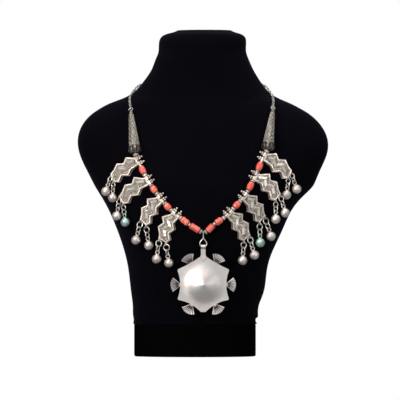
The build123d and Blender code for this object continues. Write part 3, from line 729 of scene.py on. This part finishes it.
cone_granules = silver(
    "cone_granules",
    0.00005,
    Bright=(0.74, 0.7, 0.61, 1),
    Tarnish=(0.42, 0.39, 0.32, 1),
    Recess=(0.05, 0.045, 0.036, 1),
    Patches=500.0,
    Wear=0.52,
    Depth=0.0006,
    Polish=0.34,
)
net_lines = 7
net_turn = 1.9 * math.pi
net_steps = 48
net_from_narrow_end = 0.005
net_from_wide_end = 0.0095
net_lift = 0.0001
net_granule = 0.00036
net_spacing = 0.00074
ring_before_net = 0.0006
ring_after_net = 0.0007
ring_steps = 32
measured_share = 0.7
for hand in ("left", "right"):
    copy = plain_copy(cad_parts[f"cone_{hand}"])
    skin = BVHTree.FromBMesh(copy)
    middle, axis, half = turned_axis(copy.verts)
    radii = []
    for along in (-half * measured_share, half * measured_share):
        centre = middle + axis * along
        radii.append((skin_point(skin, middle, axis, along, 0, 0) - centre).length)
    if radii[0] > radii[1]:
        axis = -axis
    places = []
    pairs = []
    start = -half + net_from_narrow_end
    end = half - net_from_wide_end
    for line in range(net_lines):
        for way in (-1, 1):
            run = []
            for step in range(net_steps + 1):
                share = step / net_steps
                along = start + (end - start) * share
                turn = 2 * math.pi * line / net_lines + way * net_turn * share
                run.append(skin_point(skin, middle, axis, along, turn, net_lift))
            add_line(places, pairs, [point for point in run if point])
    for along in (start - ring_before_net, end + ring_after_net):
        ring = skin_ring(skin, middle, axis, along, ring_steps, net_lift)
        add_line(places, pairs, [point for point in ring if point], closed=True)
    copy.free()
    values = {"Granule Radius": net_granule, "Spacing": net_spacing, "Material": cone_granules}
    net = grow(beading, values, line_mesh(places, pairs))
    add_piece(f"net_{hand}", net, cone_granules)

# Small beads: cast silver beads strung between the corals and the stations, most of them with two rings of
# granules, and a fluted one next to each cone.
bead_silver = silver(
    "bead_silver",
    0.00012,
    Bright=(0.84, 0.8, 0.73, 1),
    Tarnish=(0.5, 0.46, 0.4, 1),
    Recess=(0.04, 0.035, 0.03, 1),
    Patches=350.0,
    Wear=0.5,
    Depth=0.0012,
    Polish=0.3,
)
coat(["spacer_beads_left", "spacer_beads_right"], bead_silver)


def separate_parts(copy):
    """The vertices of each part of a bmesh that hangs together."""
    parts = []
    found = set()
    for first in copy.verts:
        if first in found:
            continue
        found.add(first)
        part = [first]
        for vertex in part:
            for link in vertex.link_edges:
                other = link.other_vert(vertex)
                if other not in found:
                    found.add(other)
                    part.append(other)
        parts.append(part)
    return parts


least_half = 0.0009
ring_share = 0.4
ring_steps = 24
ring_lift = 0.00005
most_radius = 0.0042
bead_granule = 0.0004
bead_spacing = 0.00092
for hand in ("left", "right"):
    copy = plain_copy(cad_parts[f"spacer_beads_{hand}"])
    skin = BVHTree.FromBMesh(copy)
    places = []
    pairs = []
    for bead in separate_parts(copy):
        middle, axis, half = turned_axis(bead)
        if half < least_half:
            continue
        for along in (-ring_share * half, ring_share * half):
            ring = skin_ring(skin, middle, axis, along, ring_steps, ring_lift)
            centre = middle + axis * along
            if all(point and (point - centre).length < most_radius for point in ring):
                add_line(places, pairs, ring, closed=True)
    copy.free()
    values = {"Granule Radius": bead_granule, "Spacing": bead_spacing, "Material": bead_silver}
    rings = grow(beading, values, line_mesh(places, pairs))
    add_piece(f"bead_granules_{hand}", rings, bead_silver)

# Coral: ten drilled beads of polished salmon-red coral on the thread, five on each side. They are faintly
# banded, with small pits, and their ends are darkened with painted shade where they meet the next bead.
coral_looks = {
    "Roughness": 0.22,
    "Specular IOR Level": 0.55,
    "Coat Weight": 0.35,
    "Coat Roughness": 0.1,
    "Subsurface Weight": 0.12,
    "Subsurface Radius": (0.0016, 0.0006, 0.0004),
    "Subsurface Scale": 1.0,
}
coral_red, tree, shader = new_material("coral_red", coral_looks)
spot = own_place(tree)
broad = ramp(tree, noise(tree, spot, 120.0, 2.0), 0.35, 0.65)
shade = blend_colours(tree, broad, (0.64, 0.072, 0.05, 1), (0.78, 0.17, 0.115, 1))
flecks = ramp(tree, noise(tree, spot, 900.0, 3.0, 0.6), 0.56, 0.74, 0.0, 0.5)
shade = blend_colours(tree, flecks, shade, (0.86, 0.34, 0.24, 1))
pits = ramp(tree, noise(tree, spot, 1500.0, 2.0), 0.24, 0.32, 0.8, 0.0)
shade = blend_colours(tree, pits, shade, (0.2, 0.03, 0.02, 1))
# Painted shade: an occlusion mask darkens the coral near its neighbours, at its ends.
ends = add_node(tree, "ShaderNodeAmbientOcclusion", {"Distance": 0.0015}, samples=8)
painted_end_shade = ramp(tree, ends.outputs["AO"], 0.35, 0.85, 0.75, 0.0)
shade = blend_colours(tree, painted_end_shade, shade, (0.16, 0.02, 0.014, 1))
tree.links.new(shade, shader.inputs["Base Color"])
tree.links.new(bump(tree, noise(tree, spot, 700.0, 3.0), 0.00022, 0.6), shader.inputs["Normal"])
corals = [f"coral_{hand}{number}" for hand in "lr" for number in "12345"]
coat(corals, coral_red)

# Thread: waxed cotton that runs through every bead from cone to cone. It shows only between the two
# middle beads.
thread_brown, tree, shader = new_material("thread_brown", {"Roughness": 0.85})
fibre = noise(tree, own_place(tree), 2200.0, 2.0)
shade = blend_colours(tree, fibre, (0.1, 0.07, 0.05, 1), (0.26, 0.2, 0.15, 1))
tree.links.new(shade, shader.inputs["Base Color"])
tree.links.new(bump(tree, fibre, 0.0001), shader.inputs["Normal"])
coat(["bead_thread"], thread_brown)

# Wire work: silver wire, drawn, bent and closed by hand. It makes the chain's hook, the cone's ring, the
# rings that carry the bells, and the link in the middle.
wire_silver = silver(
    "wire_silver",
    0.00008,
    Bright=(0.84, 0.81, 0.76, 1),
    Tarnish=(0.48, 0.45, 0.4, 1),
    Recess=(0.06, 0.055, 0.05, 1),
    Patches=260.0,
    Wear=0.52,
    Depth=0.0008,
    Polish=0.28,
)
bell_rings = [f"bell_rings_{place}" for place in stations]
coat(["chain_hook", "cone_ring", "centre_link"] + bell_rings, wire_silver)

# Neck chain: oval links of drawn silver wire that cross each other at right angles. It runs round the
# back of the neck from one cone to the other.
chain_silver = silver(
    "chain_silver",
    0.00005,
    Bright=(0.86, 0.84, 0.8, 1),
    Tarnish=(0.55, 0.52, 0.48, 1),
    Recess=(0.08, 0.075, 0.07, 1),
    Patches=200.0,
    Wear=0.55,
    Depth=0.0008,
    Polish=0.24,
)
coat(["neck_chain"], chain_silver)

# Bells: sixteen hollow balls of matt grey-brown silver, each of two halves soldered along a seam. Two of
# them have gone green.
bell_silver = silver(
    "bell_silver",
    0.00012,
    Bright=(0.78, 0.72, 0.68, 1),
    Tarnish=(0.48, 0.43, 0.4, 1),
    Recess=(0.05, 0.045, 0.04, 1),
    Patches=130.0,
    Wear=0.5,
    Depth=0.0009,
    Polish=0.46,
)
bell_patina = silver(
    "bell_patina",
    0.00014,
    Bright=(0.55, 0.74, 0.67, 1),
    Tarnish=(0.34, 0.48, 0.44, 1),
    Recess=(0.05, 0.06, 0.05, 1),
    Patches=170.0,
    Wear=0.5,
    Depth=0.0009,
    Polish=0.46,
)
green_bells = ["bell_l2_inner", "bell_r3_inner"]
bells = [f"bell_{place}_{where}" for place in stations for where in ("outer", "inner")]
coat([name for name in bells if name not in green_bells], bell_silver)
coat(green_bells, bell_patina)

# Pendant: a bright silver star plate raised to a low dome, scratched in rings round its middle by years of
# polishing, with six fluted fans and a bail soldered on.
pendant_silver = silver(
    "pendant_silver",
    0.0002,
    Bright=(0.62, 0.61, 0.605, 1),
    Tarnish=(0.55, 0.49, 0.47, 1),
    Recess=(0.05, 0.045, 0.04, 1),
    Patches=60.0,
    Wear=0.52,
    Depth=0.0013,
    Polish=0.4,
)
coat(["pendant"], pendant_silver)
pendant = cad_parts["pendant"]
pendant_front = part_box("pendant")[0][1]
scratch_middle = Vector((0.0005, pendant_front + 0.004, 0.0798))
tree = pendant_silver.node_tree
shader = next(node for node in tree.nodes if node.type == "BSDF_PRINCIPLED")
spot = own_place(tree)
centre = tuple(pendant.matrix_world.inverted() @ scratch_middle)
away = add_node(tree, "ShaderNodeVectorMath", {0: spot, 1: centre}, operation="DISTANCE").outputs["Value"]
inputs = {"W": away, "Scale": 1500.0, "Detail": 3.0}
rings = add_node(tree, "ShaderNodeTexNoise", inputs, noise_dimensions="1D").outputs["Fac"]
shown = ramp(tree, noise(tree, spot, 90.0), 0.35, 0.65, 0.15, 1.0)
scratch = maths(tree, "MULTIPLY", ramp(tree, rings, 0.55, 0.68), shown)
plain = shader.inputs["Base Color"].links[0].from_socket
faded = maths(tree, "MULTIPLY", scratch, 0.4)
tree.links.new(blend_colours(tree, faded, plain, (0.42, 0.39, 0.38, 1)), shader.inputs["Base Color"])
dented = shader.inputs["Normal"].links[0].from_socket
inputs = {"Height": scratch, "Distance": 0.00004, "Normal": dented}
tree.links.new(add_node(tree, "ShaderNodeBump", inputs).outputs[0], shader.inputs["Normal"])

# Painted shade: thin dark wires along the fans' grooves stand in for the shade that falls in them.
groove_painted_shade, tree, shader = new_material("groove_painted_shade", {"Roughness": 0.6, "Metallic": 0.6})
shade_noise = noise(tree, own_place(tree), 700.0)
shade = blend_colours(tree, shade_noise, (0.02, 0.018, 0.016, 1), (0.07, 0.062, 0.056, 1))
tree.links.new(shade, shader.inputs["Base Color"])


def wire_lines():
    """Geometry Nodes: a round wire along the edges of a mesh."""
    inputs = {"Lines": "Geometry", "Wire Radius": "Float", "Material": "Material"}
    group, entry = geometry_group("wire_lines", inputs, "Wires")
    curve = add_node(group, "GeometryNodeMeshToCurve", {"Mesh": entry["Lines"]})
    inputs = {"Resolution": 8, "Radius": entry["Wire Radius"]}
    round_wire = add_node(group, "GeometryNodeCurvePrimitiveCircle", inputs)
    inputs = {"Curve": curve.outputs[0], "Profile Curve": round_wire.outputs[0], "Fill Caps": True}
    wires = add_node(group, "GeometryNodeCurveToMesh", inputs)
    end_group(group, wires.outputs[0], entry["Material"], "Wires")
    return group


# The star's middle and its axes are found from its own shape. Seven dark wires of painted shade go on each
# fan.
copy = plain_copy(pendant)
skin = BVHTree.FromBMesh(copy)
spots = np.array([vertex.co for vertex in copy.verts])
copy.free()
sizes, directions = np.linalg.eigh(np.cov((spots - spots.mean(0)).T))
front = Vector(directions[:, 0])
if front.y > 0:
    front = -front
across = (Vector((1, 0, 0)) - front * front.x).normalized()
up = front.cross(across)
tip_depth = 0.0008
side = spots @ np.array(across)
height = spots @ np.array(up)
at_tip = side > side.max() - tip_depth
star_across = (side.max() + side.min()) / 2
star_up = (height[at_tip].max() + height[at_tip].min()) / 2
star_front = (spots @ np.array(front)).mean()
star = across * star_across + up * star_up + front * star_front
upper_fans = (60, 120)
upper_root_reach = 0.025
root_reach = 0.0236
grooves_on_fan = 7
fan_spread = math.radians(80)
groove_start = 0.0036
groove_end = 0.0117
groove_lift = 0.00018
groove_radius = 0.00046
ray_start = 0.01
places = []
pairs = []
for turn in range(0, 360, 60):
    aim = math.radians(turn)
    away = upper_root_reach if turn in upper_fans else root_reach
    root = star + (across * math.cos(aim) + up * math.sin(aim)) * away
    for groove in range(1, grooves_on_fan + 1):
        bearing = aim + fan_spread * (groove / (grooves_on_fan + 1) - 0.5)
        way = across * math.cos(bearing) + up * math.sin(bearing)
        starts = [root + way * reach + front * ray_start for reach in (groove_start, groove_end)]
        ends = [skin.ray_cast(start, -front)[0] for start in starts]
        if all(ends):
            add_line(places, pairs, [point + front * groove_lift for point in ends])
values = {"Wire Radius": groove_radius, "Material": groove_painted_shade}
grooves = grow(wire_lines(), values, line_mesh(places, pairs))
grooves.materials.clear()
grooves.materials.append(groove_painted_shade)
groove_piece = bpy.data.objects.new("fan_groove_shade", grooves)
scene.collection.objects.link(groove_piece)
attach(groove_piece, "pendant")
